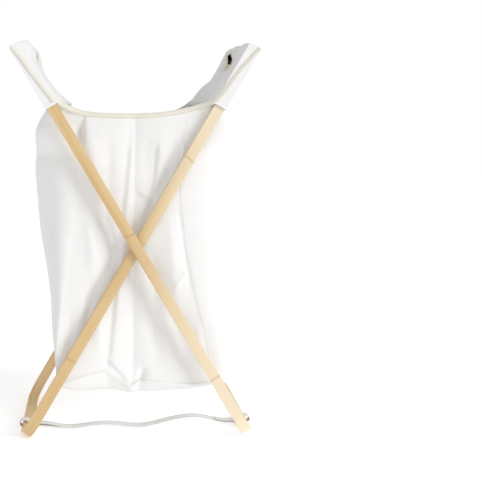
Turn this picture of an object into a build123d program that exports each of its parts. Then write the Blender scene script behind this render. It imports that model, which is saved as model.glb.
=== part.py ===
"""Folding laundry hamper: two crossed loops of bent bamboo strip that carry a removable cotton bag.

Row frame: millimetres, +Z up, the front faces -Y, +X is to the right of someone who stands in front.
The origin is on the floor, under the pivot that both loops turn on.
"""
from build123d import *
import os
from math import cos, sin, tan, radians

# ---------------------------------------------------------------- driving dimensions
# bamboo frame
leg_angle = 30.55          # each loop leans this far from upright, to its own side
pivot_height = 356.0       # floor to the pivot's axis
frame_depth = 360.0        # outside of the outer loop, front to back
leg_reach_up = 418.0       # pivot to the top end of a leg, along the leg
strip_width = 20.0         # broad face of the bamboo strip
strip_thick = 8.0
bend_radius = 45.0         # outside of the bend between a leg and the crossbar
strip_edge = 1.0           # rounded long edges of the strip
foot_flat = 1.2            # height planed off the crossbar's lower edge, so that it stands on a flat
rail_height = 20.0         # top rail, along the leg
rail_thick = 10.0
rail_edge = 2.0

# pivot hardware
leg_gap = 2.0              # between the outer and the inner leg, filled by the spacer washer
bolt_radius = 3.0
bolt_head_radius = 5.5
bolt_head_height = 3.3
hex_socket = 4.0           # across the flats
socket_depth = 2.0
running_clearance = 0.08   # radial, bolt to whatever turns on it
washer_play = 0.1          # on each face of a washer
spacer_radius = 9.0
head_washer_radius = 7.0
head_washer_thick = 1.0
insert_radius = 4.3
insert_length = 6.3
insert_groove = 0.5

# screws that hold the top rails
screw_radius = 2.0
screw_length = 35.0
screw_head_radius = 3.8
screw_head_height = 2.2

# pockets that slip over the tops of the loops
pocket_length = 122.0      # top end of a leg to the pocket's mouth
cloth = 1.2
pocket_ease = 0.8          # cloth to bamboo
hem_length = 8.0
hem_thick = 1.0
grip_length = 90.0         # hand-hole, front to back
grip_height = 36.0
grip_drop = 32.0           # top end of a leg to the middle of the hand-hole
binding_width = 5.0
binding_thick = 1.2
tape_width = 8.0

# bag
bag_floor = 93.0           # height of the seam round the base
widest_drop = 100.0        # pocket's mouth to the bag's widest level
rim_drop = 10.0            # pocket's mouth to the rim
bag_clear = 3.4            # bolt heads to the bag
front_half = {"floor": 142.0, "widest": 92.0, "rim": 90.0}    # half width of the front panel
front_inset = {"floor": 4.0, "widest": 0.0, "rim": 0.0}       # how far it stands back from the bolt heads' plane
side_half = {"floor": 159.0, "widest": 195.0, "rim": 168.0}   # the side panel's distance from the middle
side_inset = {"floor": 29.0, "widest": 36.0, "rim": 8.0}      # from the front's plane to its straight part
wall_share = 0.985         # the inside of the cloth, as a share of the outside
base_sag = 11.0
base_share = 0.93
rim_tape_height = 10.0
rim_tape_thick = 2.4
welt_width = 3.0
welt_height = 2.5

# webbing strap between the crossbars
strap_inset = 41.0         # front end of the crossbar's straight part to the middle of the strap
strap_width = 20.0
strap_thick = 1.5
loop_ease = 1.0
strap_route = [            # middle of the webbing, (x, z)
    (-191.1, 9.8), (-168.0, 9.2), (-142.5, 5.1), (-117.5, 3.6), (-93.0, 7.1), (-67.5, 9.7),
    (-41.0, 9.2), (-15.5, 5.1), (10.0, 3.1), (34.5, 7.1), (60.0, 13.8), (85.5, 18.9),
    (111.0, 20.9), (135.5, 17.3), (157.0, 11.2), (174.0, 8.2), (189.9, 7.6),
]

# ---------------------------------------------------------------- sizes that follow
lean_sin, lean_cos = sin(radians(leg_angle)), cos(radians(leg_angle))
leg_reach_down = (pivot_height + foot_flat - strip_width / 2 * lean_sin) / lean_cos
outer_half = frame_depth / 2
inner_half = outer_half - strip_thick - leg_gap
rail_at = leg_reach_up - rail_height / 2
pocket_mouth = leg_reach_up - pocket_length
grip_centre = leg_reach_up - grip_drop
bore_radius = bolt_radius + running_clearance
head_washer_at = inner_half - strip_thick - washer_play
head_at = head_washer_at - head_washer_thick - washer_play
bolt_length = outer_half - strip_thick + insert_length - head_at - washer_play
strap_place = strap_inset - (inner_half - bend_radius)

mouth_height = pivot_height + pocket_mouth * lean_cos
bag_rim = mouth_height - rim_drop
bag_front = head_at - bolt_head_height - bag_clear
LEVELS = ("floor", "widest", "rim")
LEVEL_HEIGHT = {"floor": bag_floor, "widest": mouth_height - widest_drop, "rim": bag_rim}
front_at = {level: bag_front - front_inset[level] for level in LEVELS}
side_end = {level: bag_front - side_inset[level] for level in LEVELS}

os.makedirs("parts", exist_ok=True)


def save(part, name):
    """Label one finished piece and write it to its own file."""
    part.label = name
    export_step(part, f"parts/{name}.step")


def loop_plane(side):
    """The plane of a loop: x runs to the back, y up along the legs. side is +1 where it leans right."""
    return Plane(origin=(0, 0, pivot_height), x_dir=(0, 1, 0), z_dir=(lean_cos, 0, -side * lean_sin))


def upright(y):
    """A plane facing the back at that depth, with x to the right and y up."""
    return Plane(origin=(0, y, 0), x_dir=(1, 0, 0), z_dir=(0, -1, 0))


def along_pivot(y, end):
    """A plane on the pivot's axis at that depth. end is -1 at the front: it faces away from the middle."""
    return Plane(origin=(0, y, pivot_height), x_dir=(1, 0, 0), z_dir=(0, end, 0))


# ---------------------------------------------------------------- bent loops
def bent_loop(side, half, hole_radius, hole_depth):
    """A U of bamboo strip with a flat foot, bored at the pivot from its inner faces and at the rail's screws."""
    middle = half - strip_thick / 2
    bottom = -(leg_reach_down - strip_thick / 2)
    with BuildPart() as loop:
        with BuildSketch(loop_plane(side).offset(-strip_width / 2)):
            with BuildLine() as route:
                FilletPolyline(
                    (-middle, leg_reach_up), (-middle, bottom), (middle, bottom), (middle, leg_reach_up),
                    radius=bend_radius - strip_thick / 2,
                )
            trace(route.line, line_width=strip_thick)
        extrude(amount=strip_width)
        fillet(loop.edges().filter_by(lambda edge: edge.length > strip_width + strip_thick), strip_edge)
        split(bisect_by=Plane.XY, keep=Keep.TOP)
        for end in (-1, 1):
            with Locations(along_pivot(end * (half - strip_thick), end)):
                Cylinder(hole_radius, hole_depth, align=(Align.CENTER, Align.CENTER, Align.MIN),
                         mode=Mode.SUBTRACT)
            with Locations(screw_plane(side, half, end)):
                Cylinder(screw_radius + running_clearance, strip_thick,
                         align=(Align.CENTER, Align.CENTER, Align.MAX), mode=Mode.SUBTRACT)
                Cone(screw_radius + running_clearance, screw_head_radius + running_clearance, screw_head_height,
                     align=(Align.CENTER, Align.CENTER, Align.MAX), mode=Mode.SUBTRACT)
    return loop.part


def screw_plane(side, half, end):
    """Where a rail screw's head sits: on the outer face of the leg, facing out."""
    return Plane(
        origin=(side * rail_at * lean_sin, end * half, pivot_height + rail_at * lean_cos),
        x_dir=(1, 0, 0), z_dir=(0, end, 0),
    )


def top_rail(side, half):
    """The bar between the tops of the legs that the pocket hangs on and a hand grips."""
    length = 2 * (half - strip_thick)
    with BuildPart() as rail:
        with BuildSketch(loop_plane(side).offset(-rail_thick / 2)):
            with Locations((0, rail_at)):
                Rectangle(length, rail_height)
        extrude(amount=rail_thick)
        fillet(rail.edges().filter_by(Axis.Y), rail_edge)
        for end in (-1, 1):
            with Locations(screw_plane(side, half, end)):
                Cylinder(screw_radius + running_clearance, screw_length,
                         align=(Align.CENTER, Align.CENTER, Align.MAX), mode=Mode.SUBTRACT)
    return rail.part


def rail_screws(side, half):
    """Two countersunk wood screws, one through each leg into the rail's end."""
    with BuildPart() as screws:
        for end in (-1, 1):
            with Locations(screw_plane(side, half, end)):
                Cylinder(screw_radius, screw_length, align=(Align.CENTER, Align.CENTER, Align.MAX))
                Cone(screw_radius, screw_head_radius, screw_head_height,
                     align=(Align.CENTER, Align.CENTER, Align.MAX))
    return screws.part


save(bent_loop(-1, outer_half, insert_radius, insert_length), "outer_loop")
save(bent_loop(1, inner_half, bore_radius, strip_thick), "inner_loop")
save(top_rail(-1, outer_half), "outer_top_rail")
save(top_rail(1, inner_half), "inner_top_rail")
save(rail_screws(-1, outer_half), "outer_rail_screws")
save(rail_screws(1, inner_half), "inner_rail_screws")

# ---------------------------------------------------------------- pivots
def washers(outside, thick, at):
    """A flat washer on the pivot's axis at the front, and one at the back. at is its outer face."""
    with BuildPart() as pair:
        for end in (-1, 1):
            with BuildSketch(along_pivot(end * at, end)):
                Circle(outside)
                Circle(bore_radius, mode=Mode.SUBTRACT)
            extrude(amount=-thick)
    return pair.part


with BuildPart() as bolts:
    for end in (-1, 1):
        with BuildSketch(along_pivot(end * head_at, end)):
            Circle(bolt_radius)
        extrude(amount=bolt_length)
        with BuildSketch(along_pivot(end * head_at, end)):
            Circle(bolt_head_radius)
        extrude(amount=-bolt_head_height, taper=12)
        with BuildSketch(along_pivot(end * (head_at - bolt_head_height), end)):
            RegularPolygon(hex_socket / 2, 6, major_radius=False)
        extrude(amount=socket_depth, mode=Mode.SUBTRACT)
save(bolts.part, "pivot_bolts")

with BuildPart() as inserts:
    for end in (-1, 1):
        with BuildSketch(along_pivot(end * (outer_half - strip_thick), end)):
            Circle(insert_radius)
            Circle(bore_radius, mode=Mode.SUBTRACT)
        extrude(amount=insert_length)
        with BuildSketch(along_pivot(end * (outer_half - strip_thick + insert_length / 3), end)):
            Circle(insert_radius)
            Circle(insert_radius - insert_groove, mode=Mode.SUBTRACT)
        extrude(amount=insert_length / 3, mode=Mode.SUBTRACT)
save(inserts.part, "threaded_inserts")
save(washers(spacer_radius, leg_gap - 2 * washer_play, outer_half - strip_thick - washer_play), "spacer_washers")
save(washers(head_washer_radius, head_washer_thick, head_washer_at), "head_washers")

# ---------------------------------------------------------------- pockets
def pocket_sizes(half):
    """(half depth, half thickness) of the outside of a pocket that fits a loop."""
    return half + pocket_ease + cloth, strip_width / 2 + pocket_ease + cloth


def pocket(side, half):
    """A sleeve closed at the top and open at its mouth, with a hand-hole through both layers."""
    deep, thick = pocket_sizes(half)
    with BuildPart() as sleeve:
        with BuildSketch(loop_plane(side).offset(-thick)):
            with Locations((0, pocket_mouth)):
                Rectangle(2 * deep, leg_reach_up + cloth - pocket_mouth, align=(Align.CENTER, Align.MIN))
        extrude(amount=2 * thick)
        with BuildSketch(loop_plane(side).offset(-(thick - cloth))):
            with Locations((0, pocket_mouth)):
                Rectangle(2 * (deep - cloth), leg_reach_up - pocket_mouth, align=(Align.CENTER, Align.MIN))
        extrude(amount=2 * (thick - cloth), mode=Mode.SUBTRACT)
        with BuildSketch(loop_plane(side).offset(-thick)):
            with Locations((0, grip_centre)):
                SlotOverall(grip_length, grip_height)
        extrude(amount=2 * thick, mode=Mode.SUBTRACT)
    return sleeve.part


def pocket_hem(side, half):
    """The turned edge round the pocket's mouth."""
    deep, thick = pocket_sizes(half)
    with BuildPart() as hem:
        for size, mode in ((hem_thick, Mode.ADD), (0, Mode.SUBTRACT)):
            with BuildSketch(loop_plane(side).offset(-(thick + size))):
                with Locations((0, pocket_mouth)):
                    Rectangle(2 * (deep + size), hem_length, align=(Align.CENTER, Align.MIN))
            extrude(amount=2 * (thick + size), mode=mode)
    return hem.part


def grip_binding(side, half):
    """Bias tape sewn round the hand-hole, on the inner and on the outer layer."""
    thick = pocket_sizes(half)[1]
    with BuildPart() as binding:
        for face in (-(thick + binding_thick), thick):
            with BuildSketch(loop_plane(side).offset(face)):
                with Locations((0, grip_centre)):
                    SlotOverall(grip_length + 2 * binding_width, grip_height + 2 * binding_width)
                    SlotOverall(grip_length, grip_height, mode=Mode.SUBTRACT)
            extrude(amount=binding_thick)
    return binding.part


def opening_tape(side, half):
    """The tape on the bag's opening, where it runs up the front and the back of the pocket."""
    deep, thick = pocket_sizes(half)
    reach = thick - tape_width / 2
    start, finish = pocket_mouth + hem_length + tape_width, leg_reach_up - tape_width
    ends = [
        (side * (s * lean_sin - n * lean_cos), pivot_height + s * lean_cos + n * lean_sin)
        for s, n in ((start, reach), (finish, -reach))
    ]
    with BuildPart() as tape:
        for y in (-deep, deep + binding_thick):
            with BuildSketch(upright(y)):
                with BuildLine() as run:
                    Line(*ends)
                trace(run.line, line_width=tape_width)
            extrude(amount=binding_thick)
    return tape.part


for side, half, name in ((-1, outer_half, "left"), (1, inner_half, "right")):
    save(pocket(side, half), f"{name}_pocket")
    save(pocket_hem(side, half), f"{name}_pocket_hem")
    save(grip_binding(side, half), f"{name}_grip_binding")
    save(opening_tape(side, half), f"{name}_opening_tape")


# ---------------------------------------------------------------- bag
def through_levels(outline):
    """A wall lofted straight from level to level. outline gives a level's corners, in order."""
    with BuildPart() as wall:
        for low, high in zip(LEVELS, LEVELS[1:]):
            for level in (low, high):
                with BuildSketch(Plane.XY.offset(LEVEL_HEIGHT[level])):
                    Polygon(*outline(level), align=None)
            loft(ruled=True)
    return wall.part


def inner(points):
    return [(x * wall_share, y * wall_share) for x, y in reversed(points)]


def front_corners(level, end):
    a, c = front_half[level], end * front_at[level]
    return [(-a, c), (a, c)]


def side_corners(level, side):
    a, b = side * front_half[level], side * side_half[level]
    return [(a, -front_at[level]), (b, -side_end[level]), (b, side_end[level]), (a, front_at[level])]


def face_panel(end):
    """The front or the back of the bag. Its top edge stops under the rim tape."""
    wall = through_levels(lambda level: front_corners(level, end) + inner(front_corners(level, end)))
    with BuildPart() as panel:
        add(wall)
        split(bisect_by=Plane.XY.offset(bag_rim - rim_tape_height), keep=Keep.BOTTOM)
    return panel.part


def side_panel(side):
    """The gusset from the front seam round the side to the back seam."""
    return through_levels(lambda level: side_corners(level, side) + inner(side_corners(level, side)))


def rim_tape(end):
    """The tape folded over the top edge of the front or the back panel."""
    with BuildPart() as tape:
        with BuildSketch(Plane.XY.offset(bag_rim - rim_tape_height)):
            with Locations((0, end * (front_at["rim"] - rim_tape_thick / 2))):
                Rectangle(2 * front_half["rim"] * wall_share - welt_width, rim_tape_thick)
        extrude(amount=rim_tape_height)
    return tape.part


def corner_welt(side, end):
    """The seam allowance that stands out along a corner of the bag."""
    def outline(level):
        corner = Vector(side * front_half[level], end * front_at[level])
        run = (side_half[level] - front_half[level], front_at[level] - side_end[level])
        out = (Vector(0, end) + Vector(side * run[1], end * run[0]).normalized()).normalized()
        across = Vector(-out.Y, out.X) * (welt_width / 2)
        points = [corner - across, corner + across, corner + across + out * welt_height,
                  corner - across + out * welt_height]
        return [(p.X, p.Y) for p in points]
    return through_levels(outline)


def base_outline(share):
    corners = side_corners("floor", 1) + side_corners("floor", -1)[::-1]
    return [(x * share, y * share) for x, y in corners]


with BuildPart() as base:
    for drop, shares, mode in ((0, (1, base_share), Mode.ADD), (-strap_thick, (wall_share, base_share * wall_share),
                                                                Mode.SUBTRACT)):
        with BuildSketch(Plane.XY.offset(bag_floor)):
            Polygon(*base_outline(shares[0]), align=None)
        with BuildSketch(Plane.XY.offset(bag_floor - base_sag - drop)):
            Polygon(*base_outline(shares[1]), align=None)
        loft(ruled=True, mode=mode)
save(base.part, "base_panel")

with BuildPart() as base_welt:
    with BuildSketch(Plane.XY.offset(bag_floor - welt_width)):
        Polygon(*base_outline(1 + welt_height / side_half["floor"]), align=None)
        Polygon(*base_outline(1), align=None, mode=Mode.SUBTRACT)
    extrude(amount=welt_width)
save(base_welt.part, "base_welt")

for end, name in ((-1, "front"), (1, "rear")):
    save(face_panel(end), f"{name}_panel")
    save(rim_tape(end), f"{name}_rim_tape")
    for side, hand in ((-1, "left"), (1, "right")):
        save(corner_welt(side, end), f"{name}_{hand}_welt")
for side, hand in ((-1, "left"), (1, "right")):
    save(side_panel(side), f"{hand}_side_panel")


# ---------------------------------------------------------------- strap
def bend_radii(points):
    """The radius of the bend at each inner point of a route, as large as its two runs allow."""
    radii = []
    for before, at, after in zip(points, points[1:], points[2:]):
        run_in, run_out = Vector(at) - Vector(before), Vector(after) - Vector(at)
        turn = radians(run_in.get_angle(run_out))
        radii.append(0.45 * min(run_in.length, run_out.length) / tan(turn / 2))
    return radii


radii = bend_radii(strap_route)
print("strap radii", [round(r) for r in radii])
with BuildPart() as strap:
    with BuildSketch(upright(strap_place + strap_width / 2)):
        with BuildLine() as route:
            FilletPolyline(*strap_route, radius=radii)
        trace(route.line, line_width=strap_thick)
    extrude(amount=strap_width)
print("strap length", round(sum(edge.length for edge in route.line.edges()), 1),
      "volume over section", round(strap.part.volume / (strap_width * strap_thick), 1))
save(strap.part, "strap")


def strap_loop(side):
    """The strap's end, turned round a crossbar. What the bar's edge would pinch on the floor is left out."""
    crossbar = -(leg_reach_down - strip_thick / 2)
    middle = (-side * -crossbar * lean_sin, pivot_height + crossbar * lean_cos)
    turn = side * leg_angle
    with BuildPart() as loop:
        with BuildSketch(upright(strap_place + strap_width / 2)):
            for ease, mode in ((loop_ease + strap_thick, Mode.ADD), (loop_ease, Mode.SUBTRACT)):
                with Locations(middle):
                    RectangleRounded(strip_width + 2 * ease, strip_thick + 2 * ease, ease, rotation=-turn,
                                     mode=mode)
        extrude(amount=strap_width)
        split(bisect_by=Plane.XY, keep=Keep.TOP)
    return loop.part


save(strap_loop(1), "left_strap_loop")
save(strap_loop(-1), "right_strap_loop")
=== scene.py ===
"""Folding laundry hamper: bamboo loops, cotton bag, webbing strap. Metres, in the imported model's frame."""
import math

import bmesh
import bpy
import numpy as np
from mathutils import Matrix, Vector


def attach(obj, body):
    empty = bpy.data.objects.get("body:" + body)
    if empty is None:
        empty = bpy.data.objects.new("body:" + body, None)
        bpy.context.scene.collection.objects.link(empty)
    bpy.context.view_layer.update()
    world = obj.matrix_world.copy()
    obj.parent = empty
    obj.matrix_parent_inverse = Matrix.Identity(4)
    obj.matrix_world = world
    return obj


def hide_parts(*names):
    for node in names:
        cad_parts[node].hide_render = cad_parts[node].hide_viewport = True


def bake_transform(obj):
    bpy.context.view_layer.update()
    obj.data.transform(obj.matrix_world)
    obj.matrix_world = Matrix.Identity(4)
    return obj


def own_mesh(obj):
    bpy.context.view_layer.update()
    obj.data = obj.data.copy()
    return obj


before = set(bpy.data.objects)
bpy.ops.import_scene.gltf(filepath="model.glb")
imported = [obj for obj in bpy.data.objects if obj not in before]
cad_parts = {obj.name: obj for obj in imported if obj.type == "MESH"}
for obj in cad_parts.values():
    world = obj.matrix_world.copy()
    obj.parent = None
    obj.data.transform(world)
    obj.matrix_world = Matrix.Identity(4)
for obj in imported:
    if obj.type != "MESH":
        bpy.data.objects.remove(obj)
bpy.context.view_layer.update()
bpy.ops.object.select_all(action="DESELECT")

# ---- Camera, floor and light -------------------------------------------------------------------
# A tabletop product set: the hamper stands on softly glowing white paper, with one broad soft lamp to
# the front and right of it and an even white surround.
bpy.ops.object.camera_add(location=(-0.0905, -2.072, 0.569),
                          rotation=(math.radians(90 - 5.94), 0, math.radians(-4.53)))
camera = bpy.context.object
camera.data.lens = 78.9
camera.data.shift_x = 0.147
bpy.context.scene.camera = camera
bpy.context.scene.view_settings.view_transform = "Standard"

bpy.ops.mesh.primitive_plane_add(size=14, location=(0, 3, 0))
paper = bpy.context.object
paper.name = "paper_floor"
white = bpy.data.materials.new("paper_white")
white.use_nodes = True
paper_shader = white.node_tree.nodes["Principled BSDF"]
paper_shader.inputs["Base Color"].default_value = (0.93, 0.93, 0.93, 1)
paper_shader.inputs["Roughness"].default_value = 1.0
paper_shader.inputs["Specular IOR Level"].default_value = 0.0
paper_shader.inputs["Emission Color"].default_value = (1, 1, 1, 1)
paper_shader.inputs["Emission Strength"].default_value = 0.33
paper.data.materials.append(white)

surround = bpy.data.worlds.new("white_surround")
surround.use_nodes = True
nodes, links = surround.node_tree.nodes, surround.node_tree.links
seen = nodes.new("ShaderNodeLightPath")
level = nodes.new("ShaderNodeMapRange")
level.inputs["To Min"].default_value = 0.655
level.inputs["To Max"].default_value = 1.0
links.new(seen.outputs["Is Camera Ray"], level.inputs["Value"])
links.new(level.outputs["Result"], nodes["Background"].inputs["Strength"])
nodes["Background"].inputs["Color"].default_value = (1, 1, 1, 1)
bpy.context.scene.world = surround

bpy.ops.object.light_add(type="SUN", location=(2, -1.5, 2))
key = bpy.context.object
key.name = "key_lamp"
key.data.energy = 1.35
key.data.angle = math.radians(24)
key.rotation_euler = Vector((-1.9, 1.45, -0.85)).to_track_quat("-Z", "Y").to_euler()

# ---- Webbing strap -----------------------------------------------------------------------------
# Flat cotton webbing, 20 mm wide, slack between the two crossbars. Each end is turned round its
# crossbar and sewn back on itself, and nothing else hangs from it.


def material(name, colour, roughness, sheen=0.0):
    """A new material with its shader, and the node and link lists to build on."""
    made = bpy.data.materials.new(name)
    made.use_nodes = True
    shader = made.node_tree.nodes["Principled BSDF"]
    shader.inputs["Base Color"].default_value = (*colour, 1)
    shader.inputs["Roughness"].default_value = roughness
    shader.inputs["Sheen Weight"].default_value = sheen
    return made, shader, made.node_tree.nodes, made.node_tree.links


def math_node(nodes, links, operation, first, second=None, third=None):
    """A math node whose inputs are sockets or plain numbers. Returns its output."""
    made = nodes.new("ShaderNodeMath")
    made.operation = operation
    for socket, value in zip(made.inputs, (first, second, third)):
        if isinstance(value, bpy.types.NodeSocket):
            links.new(value, socket)
        elif value is not None:
            socket.default_value = value
    return made.outputs[0]


stain = 0.04
stitch_length = 0.0032


def woven(name, colour, thread, sheen=0.15, stitches=None, band_width=0.01):
    """Plain-woven cotton on the piece's own UV map in metres: warp and weft threads, slubs, a slight
    unevenness of tone, and, where stitches gives their distance from the edge, two rows of stitches."""
    made, shader, nodes, links = material(name, colour, 0.88, sheen)
    shader.inputs["Specular IOR Level"].default_value = 0.25
    place = nodes.new("ShaderNodeUVMap")
    split = nodes.new("ShaderNodeSeparateXYZ")
    links.new(place.outputs["UV"], split.inputs[0])
    turn = 2 * math.pi / thread
    warp = math_node(nodes, links, "SINE", math_node(nodes, links, "MULTIPLY", split.outputs[0], turn))
    weft = math_node(nodes, links, "SINE", math_node(nodes, links, "MULTIPLY", split.outputs[1], turn))
    weave = math_node(nodes, links, "MULTIPLY", warp, weft)
    slub = nodes.new("ShaderNodeTexNoise")
    slub.inputs["Scale"].default_value = 900
    slub.inputs["Detail"].default_value = 3
    stretch = nodes.new("ShaderNodeMapping")
    stretch.inputs["Scale"].default_value = (1, 0.12, 1)
    links.new(place.outputs["UV"], stretch.inputs["Vector"])
    links.new(stretch.outputs[0], slub.inputs["Vector"])
    height = math_node(nodes, links, "ADD", weave, slub.outputs["Fac"])
    tone = nodes.new("ShaderNodeTexNoise")
    tone.inputs["Scale"].default_value = 26
    tone.inputs["Detail"].default_value = 4
    links.new(place.outputs["UV"], tone.inputs["Vector"])
    ramp = nodes.new("ShaderNodeMix")
    ramp.data_type = "RGBA"
    ramp.inputs[6].default_value = (*[c * (1 - stain) for c in colour], 1)
    ramp.inputs[7].default_value = (*[min(1, c * (1 + stain)) for c in colour], 1)
    shade = math_node(nodes, links, "MULTIPLY_ADD", weave, 0.12, tone.outputs["Fac"])
    links.new(shade, ramp.inputs[0])
    colour_out = ramp.outputs[2]
    if stitches is not None:
        edge = math_node(nodes, links, "SUBTRACT", math_node(
            nodes, links, "ABSOLUTE", math_node(nodes, links, "SUBTRACT", split.outputs[1], band_width / 2)),
            band_width / 2 - stitches)
        near = math_node(nodes, links, "LESS_THAN", math_node(nodes, links, "ABSOLUTE", edge), 0.0004)
        step = math_node(nodes, links, "MULTIPLY", split.outputs[0], 1 / stitch_length)
        dash = math_node(nodes, links, "LESS_THAN", math_node(nodes, links, "FRACT", step), 0.68)
        sewn = math_node(nodes, links, "MULTIPLY", near, dash)
        thread_mix = nodes.new("ShaderNodeMix")
        thread_mix.data_type = "RGBA"
        thread_mix.inputs[7].default_value = (*[c * 0.72 for c in colour], 1)
        links.new(sewn, thread_mix.inputs[0])
        links.new(colour_out, thread_mix.inputs[6])
        colour_out = thread_mix.outputs[2]
        height = math_node(nodes, links, "MULTIPLY_ADD", sewn, -3.0, height)
    links.new(colour_out, shader.inputs["Base Color"])
    bump = nodes.new("ShaderNodeBump")
    bump.inputs["Strength"].default_value = 0.35
    bump.inputs["Distance"].default_value = 0.0001
    links.new(height, bump.inputs["Height"])
    links.new(bump.outputs[0], shader.inputs["Normal"])
    return made


def finish_piece(piece, surface, body, smooth=40):
    """Give a piece its material and slot, smooth its shading and let it ride on a body."""
    piece.data.materials.append(surface)
    bpy.ops.object.select_all(action="DESELECT")
    piece.select_set(True)
    bpy.context.view_layer.objects.active = piece
    bpy.ops.object.shade_smooth_by_angle(angle=math.radians(smooth))
    if body:
        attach(piece, body)
    return piece


def grid_piece(name, columns, rows, place, flat):
    """A cloth grid whose corners go where place(u, v) says, both from 0 to 1, with UVs in metres of flat
    cloth. Edges that meet are merged."""
    bpy.ops.mesh.primitive_grid_add(x_subdivisions=columns, y_subdivisions=rows, size=2)
    piece = bpy.context.object
    piece.name = name
    mesh = piece.data
    uv = np.array([(v.co.x / 2 + 0.5, v.co.y / 2 + 0.5) for v in mesh.vertices])
    mesh.vertices.foreach_set("co", np.ascontiguousarray(place(uv[:, 0], uv[:, 1]), float).ravel())
    flat_uv = np.zeros(len(mesh.loops) * 2)
    mesh.uv_layers.active.data.foreach_get("uv", flat_uv)
    flat_uv = flat_uv.reshape(-1, 2) * flat
    mesh.uv_layers.active.data.foreach_set("uv", flat_uv.ravel())
    bpy.ops.object.mode_set(mode="EDIT")
    bpy.ops.mesh.select_all(action="SELECT")
    bpy.ops.mesh.remove_doubles(threshold=0.00005)
    bpy.ops.object.mode_set(mode="OBJECT")
    return piece


cloth_thick = 0.0012


def thicken(piece):
    """Give a sheet of canvas its thickness, half of it on each side."""
    bpy.ops.object.select_all(action="DESELECT")
    piece.select_set(True)
    bpy.context.view_layer.objects.active = piece
    wall = piece.modifiers.new("cloth", "SOLIDIFY")
    wall.thickness = cloth_thick
    wall.offset = 0.0
    bpy.ops.object.modifier_apply(modifier="cloth")


def unit(rows):
    return rows / np.maximum(np.linalg.norm(rows, axis=1, keepdims=True), 1e-9)


def along(points, closed=False):
    """The direction of a path at each of its points."""
    if closed:
        return unit(np.roll(points, -1, axis=0) - np.roll(points, 1, axis=0))
    return unit(np.gradient(points, axis=0))


def band(name, points, facing, width, thickness, closed=False, crown=0.15):
    """A flat tape that follows points, its broad face turned to facing (one direction, or one for each
    point), with softly rounded edges. UVs are in metres along and across it."""
    points = np.array(points, float)
    facing = unit(np.broadcast_to(np.array(facing, float), points.shape).copy())
    direction = along(points, closed)
    across = unit(np.cross(direction, facing))
    facing = np.cross(across, direction)
    half, thick = width / 2, thickness / 2
    profile = [(-half, 0.0), (-half * 0.93, thick * 0.8), (-half * 0.5, thick), (0, thick * (1 + crown)),
               (half * 0.5, thick), (half * 0.93, thick * 0.8), (half, 0.0), (half * 0.93, -thick * 0.8),
               (0, -thick), (-half * 0.93, -thick * 0.8)]
    runs = np.concatenate([[0], np.cumsum(np.linalg.norm(np.diff(points, axis=0), axis=1))])
    mesh = bmesh.new()
    rings = [[mesh.verts.new(p + a * across[i] + b * facing[i]) for a, b in profile]
             for i, p in enumerate(points)]
    uv = mesh.loops.layers.uv.new("UVMap")
    count = len(points)
    for i in range(count if closed else count - 1):
        j = (i + 1) % count
        far = runs[i] + float(np.linalg.norm(points[j] - points[i]))
        for k in range(len(profile)):
            n = (k + 1) % len(profile)
            face = mesh.faces.new((rings[i][k], rings[i][n], rings[j][n], rings[j][k]))
            for loop, (u, v) in zip(face.loops, ((runs[i], profile[k][0]), (runs[i], profile[n][0]),
                                                 (far, profile[n][0]), (far, profile[k][0]))):
                loop[uv].uv = (u, v + half)
    if not closed:
        mesh.faces.new(rings[0][::-1])
        mesh.faces.new(rings[-1])
    bmesh.ops.recalc_face_normals(mesh, faces=mesh.faces)
    data = bpy.data.meshes.new(name)
    mesh.to_mesh(data)
    mesh.free()
    piece = bpy.data.objects.new(name, data)
    bpy.context.collection.objects.link(piece)
    return piece


def smooth_line(route, resolution=8):
    """Points along one smooth NURBS line whose control points are the route's."""
    curve = bpy.data.curves.new("route", "CURVE")
    curve.dimensions = "3D"
    spline = curve.splines.new("NURBS")
    spline.points.add(len(route) - 1)
    for point, place in zip(spline.points, route):
        point.co = (*place, 1)
    spline.order_u = 3
    spline.use_endpoint_u = True
    spline.resolution_u = resolution
    holder = bpy.data.objects.new("route", curve)
    bpy.context.collection.objects.link(holder)
    line = bpy.data.meshes.new_from_object(holder)
    points = np.array([v.co[:] for v in line.vertices])
    bpy.data.objects.remove(holder)
    return points


strap_width = 0.020
strap_thick = 0.0015
strap_y = -0.084
strap_route = [
    (-0.1911, 0.0098), (-0.168, 0.0092), (-0.1425, 0.0051), (-0.1175, 0.0036), (-0.093, 0.0071),
    (-0.0675, 0.0097), (-0.041, 0.0092), (-0.0155, 0.0051), (0.010, 0.0031), (0.0345, 0.0071),
    (0.060, 0.0138), (0.0855, 0.0189), (0.111, 0.0209), (0.1355, 0.0173), (0.157, 0.0112),
    (0.174, 0.0082), (0.1899, 0.0076),
]
webbing = woven("webbing_white", (0.80, 0.79, 0.77), 0.0016, stitches=0.0022, band_width=strap_width)
strap_line = smooth_line([(x, strap_y, z) for x, z in strap_route])
strap_faces = np.cross(along(strap_line), (0, -1, -0.12))
strap = band("strap_webbing", strap_line, strap_faces, strap_width, strap_thick)
finish_piece(strap, webbing, None)
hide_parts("strap")
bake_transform(strap)

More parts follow.
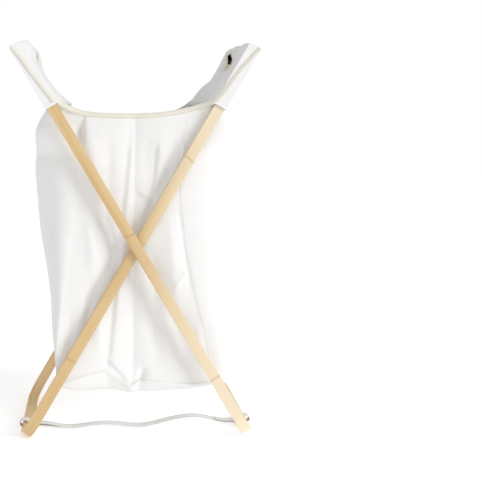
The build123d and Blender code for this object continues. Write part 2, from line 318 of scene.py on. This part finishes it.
# Each sewn end goes under its crossbar, round the outside, over the top and back onto the strap.
left_end = [(-0.1913, 0.0085), (-0.1937, 0.004), (-0.1975, 0.0014), (-0.2055, 0.0030), (-0.2135, 0.0062),
            (-0.2200, 0.0098), (-0.2213, 0.0145), (-0.2180, 0.0192), (-0.2115, 0.0212), (-0.2035, 0.0188),
            (-0.1955, 0.0158), (-0.184, 0.0138), (-0.171, 0.0124), (-0.157, 0.0100), (-0.148, 0.0077),
            (-0.1415, 0.0067)]
right_end = [(0.1911, 0.0065), (0.1937, 0.0035), (0.1975, 0.0014), (0.2055, 0.0030), (0.2135, 0.0062),
             (0.2200, 0.0098), (0.2213, 0.0145), (0.2180, 0.0192), (0.2115, 0.0205), (0.2035, 0.0170),
             (0.1945, 0.0132), (0.184, 0.0112), (0.173, 0.0108), (0.163, 0.0122), (0.154, 0.0142)]
for name, route, body in (("left", left_end, "inner_frame"), ("right", right_end, "outer_frame")):
    line = smooth_line([(x, strap_y, z) for x, z in route], 6)
    sewn = band(f"{name}_sewn_loop", line, np.cross(along(line), (0, -1, 0)), strap_width, strap_thick)
    finish_piece(sewn, webbing, body)
    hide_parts(f"{name}_strap_loop")

# ---- Bamboo loops and rails --------------------------------------------------------------------
# Laminated bamboo strip, steam-bent and clear-lacquered. The fibres run along the strip, its growth
# rings cross it as thin darker lines, and the tone drifts along its length. Towards the right the wood
# is painted paler, a painted highlight where the lamp's light falls.
pivot = Vector((0, 0, 0.356))
lean = math.radians(30.55)


def bamboo(name, lean_angle, rings, across_axis=0):
    """Bamboo whose fibres run along a loop that leans by lean_angle. rings are the heights of its growth
    rings, measured from the pivot along the leg. across_axis is 2 where the width runs up the leg."""
    made, shader, nodes, links = material(name, (0.8, 0.62, 0.36), 0.42)
    shader.inputs["Specular IOR Level"].default_value = 0.35
    shader.inputs["Coat Weight"].default_value = 0.12
    shader.inputs["Coat Roughness"].default_value = 0.3
    place = nodes.new("ShaderNodeTexCoord")
    centred = nodes.new("ShaderNodeMapping")
    centred.inputs["Location"].default_value = (-pivot.x, -pivot.y, -pivot.z)
    links.new(place.outputs["Object"], centred.inputs["Vector"])
    turned = nodes.new("ShaderNodeMapping")
    turned.inputs["Rotation"].default_value = (0, -lean_angle, 0)
    links.new(centred.outputs[0], turned.inputs["Vector"])
    parts = nodes.new("ShaderNodeSeparateXYZ")
    links.new(turned.outputs[0], parts.inputs[0])

    def fibre(scale_across, scale_along, detail):
        scaled = nodes.new("ShaderNodeMapping")
        scales = [scale_along] * 3
        scales[across_axis] = scale_across
        scaled.inputs["Scale"].default_value = scales
        links.new(turned.outputs[0], scaled.inputs["Vector"])
        noise = nodes.new("ShaderNodeTexNoise")
        noise.inputs["Scale"].default_value = 1
        noise.inputs["Detail"].default_value = detail
        links.new(scaled.outputs[0], noise.inputs["Vector"])
        return noise.outputs["Fac"]

    streaks = fibre(900, 9, 3)
    lamination = fibre(190, 2.5, 1)
    drift = fibre(22, 7, 2)
    tone = math_node(nodes, links, "MULTIPLY_ADD", streaks, 0.42,
                     math_node(nodes, links, "MULTIPLY_ADD", lamination, 0.38,
                               math_node(nodes, links, "MULTIPLY", drift, 0.45)))
    ramp = nodes.new("ShaderNodeValToRGB")
    ramp.color_ramp.elements[0].position = 0.40
    ramp.color_ramp.elements[0].color = (0.54, 0.365, 0.165, 1)
    ramp.color_ramp.elements[1].position = 0.86
    ramp.color_ramp.elements[1].color = (0.76, 0.565, 0.32, 1)
    middle = ramp.color_ramp.elements.new(0.62)
    middle.color = (0.66, 0.465, 0.225, 1)
    links.new(tone, ramp.inputs["Fac"])
    # Painted highlight: the wood is mixed towards a pale colour the further right it stands, where the
    # lamp's light falls on it.
    world_parts = nodes.new("ShaderNodeSeparateXYZ")
    links.new(place.outputs["Object"], world_parts.inputs[0])
    painted_highlight_right = nodes.new("ShaderNodeMapRange")
    painted_highlight_right.interpolation_type = "SMOOTHSTEP"
    painted_highlight_right.inputs["From Min"].default_value = -0.04
    painted_highlight_right.inputs["From Max"].default_value = 0.17
    painted_highlight_right.inputs["To Max"].default_value = 0.8
    links.new(world_parts.outputs[0], painted_highlight_right.inputs["Value"])
    painted_highlight_mix = nodes.new("ShaderNodeMix")
    painted_highlight_mix.data_type = "RGBA"
    painted_highlight_mix.inputs[7].default_value = (0.90, 0.785, 0.60, 1)
    links.new(painted_highlight_right.outputs[0], painted_highlight_mix.inputs[0])
    links.new(ramp.outputs[0], painted_highlight_mix.inputs[6])
    colour = painted_highlight_mix.outputs[2]
    height = math_node(nodes, links, "MULTIPLY", streaks, 0.5)
    wave = math_node(nodes, links, "MULTIPLY_ADD", lamination, 0.010, parts.outputs[2])
    back = math_node(nodes, links, "GREATER_THAN", parts.outputs[1], 0.0)
    wave = math_node(nodes, links, "MULTIPLY_ADD", back, 0.046, wave)
    for ring in rings:
        gap = math_node(nodes, links, "ABSOLUTE", math_node(nodes, links, "SUBTRACT", wave, ring))
        mark = nodes.new("ShaderNodeMapRange")
        mark.interpolation_type = "SMOOTHSTEP"
        mark.inputs["From Min"].default_value = 0.0006
        mark.inputs["From Max"].default_value = 0.0032
        mark.inputs["To Min"].default_value = 0.75
        mark.inputs["To Max"].default_value = 0.0
        links.new(gap, mark.inputs["Value"])
        worn = math_node(nodes, links, "MULTIPLY", mark.outputs[0], streaks)
        line = nodes.new("ShaderNodeMix")
        line.data_type = "RGBA"
        line.inputs[7].default_value = (0.42, 0.24, 0.09, 1)
        links.new(worn, line.inputs[0])
        links.new(colour, line.inputs[6])
        colour = line.outputs[2]
        height = math_node(nodes, links, "MULTIPLY_ADD", worn, 0.8, height)
    links.new(colour, shader.inputs["Base Color"])
    bump = nodes.new("ShaderNodeBump")
    bump.inputs["Strength"].default_value = 0.35
    bump.inputs["Distance"].default_value = 0.0004
    links.new(height, bump.inputs["Height"])
    links.new(bump.outputs[0], shader.inputs["Normal"])
    return made


def repaint(node, surface):
    """Give a CAD node's mesh another material, and leave its shape alone."""
    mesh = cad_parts[node].data
    mesh.materials.clear()
    mesh.materials.append(surface)


repaint("inner_loop", bamboo("bamboo_inner_loop", lean, (0.192, -0.233)))
repaint("outer_loop", bamboo("bamboo_outer_loop", -lean, (0.033, -0.275)))
repaint("inner_top_rail", bamboo("bamboo_inner_rail", lean, (), across_axis=2))
repaint("outer_top_rail", bamboo("bamboo_outer_rail", -lean, (), across_axis=2))

# ---- Pivot hardware and screws -----------------------------------------------------------------
# Zinc-plated button-head bolts, washers and wood screws, and brass threaded inserts. All of them sit
# on the inside of the frame or under the pockets.


def metal(name, colour, roughness):
    """Plated metal with fine turning marks and a slightly uneven shine."""
    made, shader, nodes, links = material(name, colour, roughness)
    shader.inputs["Metallic"].default_value = 1.0
    place = nodes.new("ShaderNodeTexCoord")
    grain = nodes.new("ShaderNodeTexNoise")
    grain.inputs["Scale"].default_value = 700
    links.new(place.outputs["Object"], grain.inputs["Vector"])
    shine = nodes.new("ShaderNodeMapRange")
    shine.inputs["To Min"].default_value = roughness - 0.08
    shine.inputs["To Max"].default_value = roughness + 0.12
    links.new(grain.outputs["Fac"], shine.inputs["Value"])
    links.new(shine.outputs[0], shader.inputs["Roughness"])
    return made


zinc = metal("zinc_plate", (0.66, 0.66, 0.67), 0.32)
brass = metal("plain_brass", (0.80, 0.60, 0.28), 0.35)
for node in ("pivot_bolts", "spacer_washers", "head_washers", "inner_rail_screws", "outer_rail_screws"):
    repaint(node, zinc)
repaint("threaded_inserts", brass)

# ---- Bag walls ---------------------------------------------------------------------------------
# White cotton canvas: front and back panels joined by two side gussets at four corner seams. The
# cloth hangs from the rails, is widest near the top, and keeps the folds it was packed with.
canvas = woven("canvas_white", (0.86, 0.858, 0.852), 0.0011)
base_seam = 0.095
side_top = 0.618


def eased(value, low, high):
    """0 below low, 1 above high, and a smooth rise between."""
    t = np.clip((value - low) / (high - low), 0, 1)
    return t * t * (3 - 2 * t)


def through(value, *stops, soft=0.02):
    """A smooth line near the given (place, value) stops. soft is how far it rounds each stop."""
    places, values = zip(*stops)
    return sum(share * np.interp(value + step * soft, places, values)
               for step, share in ((-1, 0.25), (0, 0.5), (1, 0.25)))


def rim_height(x):
    """The middle of the rim's tape: level in front, and up to the legs at both sides."""
    return 0.5945 + np.where(x > 0, 0.0305 * (np.abs(x) / 0.152) ** 2.2, 0.0295 * (np.abs(x) / 0.144) ** 4.6)


def seam_x(h, hand):
    """Where a front corner seam is at a height. The bag hangs a little skewed."""
    if hand < 0:
        return -through(h, (0.10, 0.149), (0.177, 0.146), (0.225, 0.139), (0.338, 0.124), (0.427, 0.111),
                        (0.515, 0.108), (0.56, 0.101), (0.60, 0.092))
    return through(h, (0.10, 0.141), (0.20, 0.126), (0.242, 0.114), (0.336, 0.094), (0.444, 0.080),
                   (0.53, 0.084), (0.60, 0.094))


def bag_half(h):
    """Half the width of the whole bag at a height."""
    return through(h, (0.095, 0.160), (0.17, 0.171), (0.33, 0.185), (0.43, 0.192), (0.50, 0.196),
                   (0.54, 0.194), (0.57, 0.186), (0.594, 0.172), (0.608, 0.160), (0.64, 0.148), soft=0.008)


def stroke(x, h, start, end, width, depth):
    """A soft fold along a line from start to end: a ridge where depth is positive, else a furrow."""
    a, b = np.array(start), np.array(end)
    run = b - a
    t = ((x - a[0]) * run[0] + (h - a[1]) * run[1]) / (run @ run)
    gap = np.hypot(x - a[0] - t * run[0], h - a[1] - t * run[1])
    return depth / (1 + (gap / width) ** 2) ** 1.5 * eased(t, -0.15, 0.3) * eased(1 - t, -0.15, 0.3)


def pressed(x, h, start, end, side, reach, depth, soft=0.0018):
    """A pressed edge along a line: the cloth drops by depth on one side of it and recovers over reach."""
    a, b = np.array(start), np.array(end)
    long = np.linalg.norm(b - a)
    run = (b - a) / long
    t = (x - a[0]) * run[0] + (h - a[1]) * run[1]
    off = side * ((x - a[0]) * -run[1] + (h - a[1]) * run[0])
    ends = eased(t, -0.01, 0.16 * long) * eased(long - t, -0.01, 0.10 * long)
    return -depth * eased(off, -soft, soft) * np.exp(-np.clip(off, 0, 1) / reach) * ends


def valley(x, h, start, end, reach, depth):
    """A pressed crease along a line, where the cloth dips to a sharp line from both sides."""
    a, b = np.array(start), np.array(end)
    long = np.linalg.norm(b - a)
    run = (b - a) / long
    t = (x - a[0]) * run[0] + (h - a[1]) * run[1]
    off = np.abs((x - a[0]) * -run[1] + (h - a[1]) * run[0])
    return -depth * np.exp(-off / reach) * eased(t, -0.05, 0.05) * eased(long - t, -0.03, 0.03)


def front_folds(x, h):
    """How far the front panel stands forward of its plain shape."""
    d = 0.0016 * np.cos(x / 0.05) * eased(h, 0.11, 0.3)
    d += valley(x, h, (-0.001, 0.600), (-0.008, 0.088), 0.022, 0.0085)
    d += pressed(x, h, (-0.006, 0.585), (-0.052, 0.125), -1, 0.026, 0.0058, soft=0.0055)
    d += pressed(x, h, (0.040, 0.545), (0.032, 0.436), -1, 0.022, 0.0066, soft=0.0045)
    d += pressed(x, h, (0.033, 0.440), (0.070, 0.500), 1, 0.020, 0.0031, soft=0.004)
    d += pressed(x, h, (0.002, 0.455), (0.032, 0.438), -1, 0.016, 0.0056, soft=0.004)
    d += stroke(x, h, (0.080, 0.560), (0.034, 0.445), 0.014, -0.0087)
    d += stroke(x, h, (0.030, 0.440), (0.018, 0.395), 0.011, -0.0070)
    d += stroke(x, h, (0.020, 0.560), (0.018, 0.470), 0.016, -0.0036)
    d += stroke(x, h, (-0.086, 0.570), (-0.066, 0.420), 0.017, 0.0050)
    d += stroke(x, h, (-0.048, 0.560), (-0.052, 0.400), 0.014, -0.0034)
    d += stroke(x, h, (-0.064, 0.425), (-0.040, 0.360), 0.010, -0.0062)
    d += stroke(x, h, (-0.040, 0.375), (-0.050, 0.315), 0.011, -0.0084)
    d += stroke(x, h, (-0.048, 0.330), (-0.086, 0.262), 0.013, -0.0092)
    d += stroke(x, h, (-0.084, 0.280), (-0.092, 0.205), 0.011, -0.0073)
    d += stroke(x, h, (-0.088, 0.420), (-0.078, 0.300), 0.013, 0.0045)
    d += stroke(x, h, (-0.074, 0.245), (-0.066, 0.160), 0.015, 0.0042)
    d += stroke(x, h, (-0.118, 0.240), (-0.128, 0.150), 0.012, -0.0050)
    d += stroke(x, h, (0.060, 0.420), (0.076, 0.240), 0.017, 0.0045)
    d += stroke(x, h, (0.028, 0.350), (0.040, 0.140), 0.020, -0.0076)
    d += pressed(x, h, (0.072, 0.430), (0.096, 0.270), 1, 0.014, 0.0022)
    d += stroke(x, h, (0.068, 0.276), (0.094, 0.314), 0.004, 0.0025)
    d += stroke(x, h, (0.060, 0.240), (0.098, 0.135), 0.017, -0.0067)
    d += stroke(x, h, (0.112, 0.210), (0.122, 0.120), 0.010, 0.0036)
    d += pressed(x, h, (-0.054, 0.145), (-0.020, 0.108), -1, 0.016, 0.0060, soft=0.004)
    d += stroke(x, h, (0.014, 0.130), (0.004, 0.100), 0.008, -0.0070)
    return d


def side_folds(y, h, hand):
    """How far a side gusset stands out of its plain shape. hand is -1 for the left one."""
    d = 0.0030 * np.sin(y / 0.031 + hand) * eased(h, 0.13, 0.36) * eased(0.61 - h, 0, 0.05)
    d += stroke(y, h, (-0.110, 0.480), (-0.070, 0.190), 0.020, -0.0048)
    d += stroke(y, h, (-0.040, 0.550), (-0.020, 0.310), 0.022, 0.0046)
    d += stroke(y, h, (0.030, 0.530), (0.060, 0.260), 0.020, -0.0052)
    d += stroke(y, h, (0.100, 0.410), (0.070, 0.160), 0.016, 0.0040)
    d += pressed(y, h, (-0.128, 0.300), (-0.096, 0.215), 1, 0.018, 0.0026)
    d += pressed(y, h, (-0.012, 0.560), (0.004, 0.110), 1, 0.024, 0.0034)
    d += stroke(y, h, (-0.020, 0.250), (0.010, 0.130), 0.014, -0.0036)
    return d


def bag_outline(u, h):
    """A point of the wall: u runs once round from the front left seam, and h is its height."""
    b = bag_half(h)
    skew = (0.010 + 0.006 * eased(0.42 - h, 0, 0.2)) * eased(0.615 - h, 0, 0.09)
    power = 2.5 + 5.0 * eased(h, 0.52, 0.60) + 1.5 * eased(0.26 - h, 0, 0.16)
    quarter = np.floor(np.clip(u, 0, 0.999999) * 4)
    t = u * 4 - quarter
    x, y = np.zeros_like(u), np.zeros_like(u)
    left, right = seam_x(h, -1), seam_x(h, 1)
    c = 0.1530 - 0.004 * eased(0.2 - h, 0, 0.1)
    flat = left + (right - left) * t
    turned = right + (left - right) * t
    front, east, rear, west = (quarter == k for k in range(4))
    x[front], y[front] = flat[front], (-c - front_folds(flat, h))[front]
    x[rear], y[rear] = turned[rear], (c + 0.8 * front_folds(turned, h))[rear]
    angle = np.pi * (t - 0.5)
    for part, hand, seam in ((east, 1, right), (west, -1, -left)):
        run = np.sign(angle) * np.abs(np.sin(angle)) ** (2 / power) * hand
        out = np.abs(np.cos(angle)) ** (2 / power)
        fold = side_folds(c * run, h, hand) * out ** 0.5
        x[part] = (hand * (seam + (b - seam) * out + fold) + skew * out)[part]
        y[part] = (c * run)[part]
    spread = np.where(x < 0, 0.014, 0.006) * eased(np.abs(x), 0.096, 0.140) * eased(h, 0.585, 0.618)
    hollow = np.exp(-(((np.abs(x) - 0.109) / 0.013) ** 2 + ((h - 0.572) / 0.027) ** 2))
    spread -= np.where(x < 0, 0.026, 0.014) * hollow * eased(np.abs(x), 0.086, 0.100)
    return x, y + np.sign(y) * spread * eased(np.abs(y), 0.12, 0.15)


def seam_line(x, y):
    """The height of the base seam: the front one is pulled up into a folded corner left of the middle."""
    front = through(x, (-0.15, 0.100), (-0.124, 0.105), (-0.09, 0.116), (-0.057, 0.1225), (-0.03, 0.107),
                    (-0.009, 0.0925), (0.004, 0.102), (0.041, 0.100), (0.10, 0.094), (0.14, 0.099),
                    soft=0.003)
    rear = base_seam + 0.004 * np.sin(x / 0.03)
    side = base_seam + 0.003 * np.sin(y / 0.04)
    return side + (front - side) * eased(-y, 0.125, 0.148) + (rear - side) * eased(y, 0.125, 0.148)


def top_line(x, y):
    """The height of the wall's top edge: in the rim's tape in front and behind, in the pockets at the
    sides."""
    rear_corners = 0.014 * eased(np.abs(x), 0.100, 0.145) * eased(y, 0.10, 0.15)
    high = rim_height(np.clip(x, -0.146, 0.152)) + rear_corners
    return side_top + (high - side_top) * eased(np.abs(y), 0.125, 0.15)


def wall(u, v):
    x, y = bag_outline(u, base_seam + v * (0.61 - base_seam))
    low, high = seam_line(x, y), top_line(x, y)
    h = low + (high - low) * v
    x, y = bag_outline(u, h)
    return np.stack([x, y, h], axis=1)


def fold_flat(piece):
    """Give the piece a mesh of its own."""
    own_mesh(piece)


wall_flat = (1.22, 0.52)
bag_wall = grid_piece("bag_wall", 344, 112, wall, wall_flat)
thicken(bag_wall)
finish_piece(bag_wall, canvas, "bag", 50)
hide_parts("front_panel", "rear_panel", "left_side_panel", "right_side_panel")
fold_flat(bag_wall)

# ---- Base and base seam ------------------------------------------------------------------------
# A piece of the same canvas, sewn to the walls' lower edge. It sags under its own weight, and its
# seam allowance stands out as a narrow raised line.


def base_point(u, v):
    """A point of the base: u runs round, v from the seam to the middle."""
    edge = wall(u, np.zeros_like(u))
    share = (1 - v)[:, None]
    middle = np.array([0.004, 0.0])
    flat = middle + (edge[:, :2] - middle) * share
    sag = 0.0775 + 0.015 * np.clip(np.abs(flat[:, 0]) / 0.15, 0, 1.2) ** 5
    sag += 0.0022 * np.sin(flat[:, 0] / 0.026 + 1) * np.cos(flat[:, 1] / 0.04)
    sag -= stroke(flat[:, 0], flat[:, 1], (-0.012, -0.150), (-0.020, -0.06), 0.012, 0.004)
    height = sag + (edge[:, 2] - sag) * share[:, 0] ** 9
    return np.column_stack([flat, height])


base_in_seam = (0.30, 0.31)
base = grid_piece("base_cloth", 248, 34, base_point, base_in_seam)
thicken(base)
finish_piece(base, canvas, "bag", 50)
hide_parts("base_panel")
fold_flat(base)

round_base = np.linspace(0, 1, 249)[:-1]
seam_points = wall(round_base, np.full(248, 0.004))
outward = unit(seam_points * (1, 1, 0) - (0.004, 0, 0))
base_ridge_width = 0.0045
base_ridge_thick = 0.0022
base_ridge = band("base_seam_ridge", seam_points + outward * 0.0013, outward, base_ridge_width,
                  base_ridge_thick, closed=True)
finish_piece(base_ridge, canvas, "bag")
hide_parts("base_welt")
fold_flat(base_ridge)

# ---- Corner seams ------------------------------------------------------------------------------
# The seam allowances of the four corners, pressed into a narrow ridge that stands out at the corner.
seam_run = np.linspace(0.012, 0.985, 64)
ridge_width = 0.0020
ridge_thick = 0.0009
for name, where in (("front_left_welt", 0.0), ("front_right_welt", 0.25), ("rear_right_welt", 0.5),
                    ("rear_left_welt", 0.75)):
    line = wall(np.full(64, where), seam_run)
    corner = unit(np.sign(line) * (0.75, 1, 0))
    sideways = np.cross(along(line), corner)
    ridge = band(name.replace("welt", "seam_ridge"), line + corner * 0.0004, sideways, ridge_width,
                 ridge_thick)
    finish_piece(ridge, canvas, "bag")
    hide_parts(name)
    fold_flat(ridge)

# ---- Rim tapes ---------------------------------------------------------------------------------
# Cream cotton bias tape folded over the cloth's top edge, in front and behind, with a row of stitches
# along each edge. Its ends run out to the legs, where the pockets' own tape goes on.
rim_width = 0.010
rim_thick = 0.0036
cream = woven("cream_tape", (0.80, 0.765, 0.67), 0.0009, stitches=0.0022, band_width=rim_width)
rim_ends = {"left": [(-0.146, 0.1815, 0.6215), (-0.136, 0.170, 0.6160), (-0.120, 0.1595, 0.6075)],
            "right": [(0.118, 0.1565, 0.6118), (0.134, 0.1630, 0.6175), (0.1465, 0.1718, 0.6240)]}
for name, face in (("front", -1), ("rear", 1)):
    lift = 0.0 if face < 0 else 0.013
    rise = (lift, 0.8 * lift, 0.3 * lift)
    route = [(x, face * y, z + up) for (x, y, z), up in zip(rim_ends["left"], rise)]
    for x in np.linspace(-0.100, 0.100, 11):
        route.append((x, face * (0.1530 + front_folds(x, rim_height(x))), float(rim_height(x))))
    route += [(x, face * y, z + up) for (x, y, z), up in zip(rim_ends["right"], rise[::-1])]
    line = smooth_line(route, 5)
    tape = band(f"{name}_rim_binding", line, (0, face, 0), rim_width, rim_thick)
    finish_piece(tape, cream, "bag")
    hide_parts(f"{name}_rim_tape")
    fold_flat(tape)

# ---- Pockets -----------------------------------------------------------------------------------
# A deep canvas pocket at each end of the bag slips over the top of a loop. Its inside face stands
# loose, and a bound hand-hole goes through both faces below the rail. Cream tape covers its front and
# rear edges.
hole_at = 0.390
hole_radius = 0.018
hole_run = 0.027
mouth = 0.296
pocket_top = 0.4225
inside_rest = 0.0118
outside_rest = -0.0112
pocket_flat = (0.79, 0.135)
hem_width = 0.0075
hem_thick = 0.0018
edge_width = 0.0085
edge_thick = 0.0022
binding_width = 0.0050
binding_thick = 0.0030
lining_gap = 0.0006

# Shares of the way round a pocket, from the front corner of its outside face. The cloth turns round the
# rear leg, comes back as the loose inside face, and turns round the front leg. opening_share is how much
# of the way it takes to stand off the leg, and the cloth closes over the rail from closing_starts up.
outside_end = 0.425
inside_start = 0.4875
rear_corner = 0.5
front_corner = 0.925
inside_end = 0.9375
opening_share = 0.0125
closing_starts = 0.84


def on_loop(hand, s, q, y):
    """A place on the plane of a loop: s up the leg from the pivot, q towards the inside of the bag."""
    sine, cosine = math.sin(lean), math.cos(lean)
    across, up = hand * (s * sine - q * cosine), pivot.z + s * cosine + q * sine
    return np.stack(np.broadcast_arrays(across, y, up), axis=-1)


def tape_line(s, hand):
    """Where the pocket's front edge tape runs, across the leg, from the mouth to the outer top corner."""
    return through(s, (0.296, 0.0085), (0.337, 0.0035), (0.372, -0.0005), (0.395, -0.002), (0.409, -0.004),
                   (0.424, -0.009), soft=0.006) + (hand > 0) * 0.004 * eased(0.40 - s, 0, 0.03)


def loose_face(y, s, half, hand):
    """How far the pocket's inside face stands from the loop's plane."""
    if hand < 0:
        stand = through(s, (0.284, 0.030), (0.303, 0.027), (0.323, 0.019), (0.366, 0.0135), (0.383, 0.017),
                        (0.400, 0.025), (0.411, 0.028), (0.430, 0.020), soft=0.007)
    else:
        stand = through(s, (0.284, 0.031), (0.303, 0.032), (0.325, 0.029), (0.360, 0.016), (0.378, 0.0120),
                        (0.393, 0.0118), (0.403, 0.017), (0.412, 0.022), (0.430, 0.014), soft=0.005)
    t = y / half
    wave = 0.0022 * np.sin(t * 5 + hand) + 0.0014 * np.sin(t * 11 + s * 40)
    wave += pressed(y, s, (-0.120, 0.300), (-0.070, 0.415), -1, 0.030, 0.0050)
    wave += pressed(y, s, (-0.150, 0.310), (-0.100, 0.360), -1, 0.016, 0.0034)
    wave += pressed(y, s, (0.090, 0.300), (0.050, 0.410), 1, 0.030, 0.0045)
    return inside_rest + (stand - inside_rest + wave) * (1 - np.abs(t) ** 3.5)


def hole_gap(y, s):
    """Distance from the hand-hole's edge, negative inside it, and the direction away from it."""
    dy = y - np.clip(y, -hole_run, hole_run)
    ds = s - hole_at
    gap = np.hypot(dy, ds)
    return gap - hole_radius, dy / np.maximum(gap, 1e-6), ds / np.maximum(gap, 1e-6)


def outer_face(y, s, half):
    """The pocket's outside face, drawn tight over the rail and slack between the legs."""
    return outside_rest - 0.0012 * (1 + np.sin(y / 0.03 + s * 30)) * (1 - (y / half) ** 2)


def pocket_point(u, v, hand, half):
    """A point of a pocket: u runs round from the front outer corner, v from the mouth to the top."""
    y = np.interp(u, (0, outside_end, rear_corner, front_corner, 1), (-half, half, half, -half, -half))
    loose = (u > inside_start - 0.0001) & (u < inside_end + 0.0001)
    slack = np.clip(1 - (y / half) ** 2, 0, 1)
    top = pocket_top + 0.0025 * slack
    low = mouth - 0.012 * np.where(loose, slack ** 0.5, 0)
    s = low + (top - low) * np.interp(v, (0, closing_starts, 1), (0, 0.965, 1))
    gap, away_y, away_s = hole_gap(y, s)
    snap = np.where((np.abs(gap) < 0.0026) & (loose | (u < outside_end)), -gap, 0)
    y, s = y + snap * away_y, s + snap * away_s
    outer = outer_face(y, s, half)
    edge = tape_line(s, hand)
    opened = np.clip(np.minimum(u - inside_start, inside_end - u) / opening_share, 0, 1)
    q = np.where(loose, edge + (loose_face(y, s, half, hand) - edge) * opened, outer)
    wrap = inside_start - outside_end
    rear_turn = (u >= outside_end) & (u <= inside_start)
    q = np.where(rear_turn, outer + (edge - outer) * (u - outside_end) / wrap, q)
    q = np.where(u >= inside_end, edge + (outer - edge) * (u - inside_end) / wrap, q)
    close = np.clip((v - closing_starts) / (1 - closing_starts), 0, 1)
    middle = -0.009 + 0.014 * slack ** 0.7
    q = middle + (q - middle) * np.sqrt(np.maximum(1 - close ** 2, 0))
    return on_loop(hand, s, q, y)


for side, hand, half, body, loop in (("left", -1, 0.1828, "outer_frame", "outer_loop"),
                                     ("right", 1, 0.1728, "inner_frame", "inner_loop")):
    pocket = grid_piece(f"{side}_pocket_cloth", 160, 34, lambda u, v: pocket_point(u, v, hand, half),
                        pocket_flat)
    cut = bmesh.new()
    cut.from_mesh(pocket.data)
    through_hole = []
    for face in cut.faces:
        place = face.calc_center_median()
        up = place.x * hand * math.sin(lean) + (place.z - pivot.z) * math.cos(lean)
        if hole_gap(np.array(place.y), np.array(up))[0] < -0.0001:
            through_hole.append(face)
    bmesh.ops.delete(cut, geom=through_hole, context="FACES")
    cut.to_mesh(pocket.data)
    cut.free()
    thicken(pocket)
    finish_piece(pocket, canvas, body, 55)
    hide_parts(f"{side}_pocket")

    round_mouth = np.concatenate([
        np.linspace(0, outside_end, 60)[:-1], np.linspace(outside_end, rear_corner, 9)[:-1],
        np.linspace(rear_corner, front_corner, 60)[:-1], np.linspace(front_corner, 1, 9)[:-1]])
    hem_line = pocket_point(round_mouth, np.full(len(round_mouth), 0.025), hand, half)
    across = on_loop(hand, 0.0, 1.0, 0.0) - on_loop(hand, 0.0, 0.0, 0.0)
    within = np.clip(hem_line[:, 1], 0.006 - half, half - 0.006)
    hem_face = unit(hem_line - on_loop(hand, mouth + 0.003, 0.0, within))
    hem = band(f"{side}_mouth_hem", hem_line + hem_face * 0.0008, hem_face, hem_width, hem_thick,
               closed=True)
    finish_piece(hem, canvas, body)
    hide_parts(f"{side}_pocket_hem")

    for face in (-1, 1):
        s = np.linspace(0.301 if face < 0 else 0.316, 0.4215, 26)
        line = on_loop(hand, s, tape_line(s, hand) + 0.0006, np.full(26, face * (half + 0.0008)))
        turned = unit(np.array([[0.0, face, 0.0]]) + 0.5 * across * np.array([[1, 0, 1]]))
        end = "front" if face < 0 else "rear"
        edge = band(f"{side}_edge_tape_{end}", line, turned, edge_width, edge_thick)
        finish_piece(edge, cream, body)
    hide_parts(f"{side}_opening_tape")

    cap = np.linspace(-math.pi / 2, math.pi / 2, 30)
    run = np.linspace(-hole_run, hole_run, 16)[1:-1]
    ring_y = np.concatenate([hole_run + hole_radius * np.cos(cap), run[::-1],
                             -hole_run - hole_radius * np.cos(cap), run])
    ring_s = hole_at + np.concatenate([hole_radius * np.sin(cap), np.full(14, hole_radius),
                                       -hole_radius * np.sin(cap), np.full(14, -hole_radius)])
    for layer, depths in (("inside", loose_face(ring_y, ring_s, half, hand)),
                          ("outside", outer_face(ring_y, ring_s, half))):
        line = on_loop(hand, ring_s, depths, ring_y)
        binding = band(f"{side}_hole_binding_{layer}", line, across * (1, 0, 1), binding_width,
                       binding_thick, closed=True)
        finish_piece(binding, cream, body)
    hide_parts(f"{side}_grip_binding")

    # Below the rail a turned-in tape joins the two faces, from one end of the hole round to the other.
    turn = np.concatenate([np.linspace(math.pi - 0.34, 1.5 * math.pi, 24), np.full(12, 1.5 * math.pi),
                           np.linspace(1.5 * math.pi, 2 * math.pi + 0.34, 24)])
    centre = np.concatenate([np.full(24, -hole_run), np.linspace(-hole_run, hole_run, 14)[1:-1],
                             np.full(24, hole_run)])
    lining_y = centre + (hole_radius + lining_gap) * np.cos(turn)
    lining_s = hole_at + (hole_radius + lining_gap) * np.sin(turn)
    inside, outside = loose_face(lining_y, lining_s, half, hand), outer_face(lining_y, lining_s, half)
    line = on_loop(hand, lining_s, (inside + outside) / 2, lining_y)
    away = on_loop(hand, np.sin(turn), 0.0, np.cos(turn)) - on_loop(hand, 0.0, 0.0, 0.0)
    lining = band(f"{side}_hole_lining", line, away, float(np.mean(inside - outside)), cloth_thick)
    finish_piece(lining, cream, body)
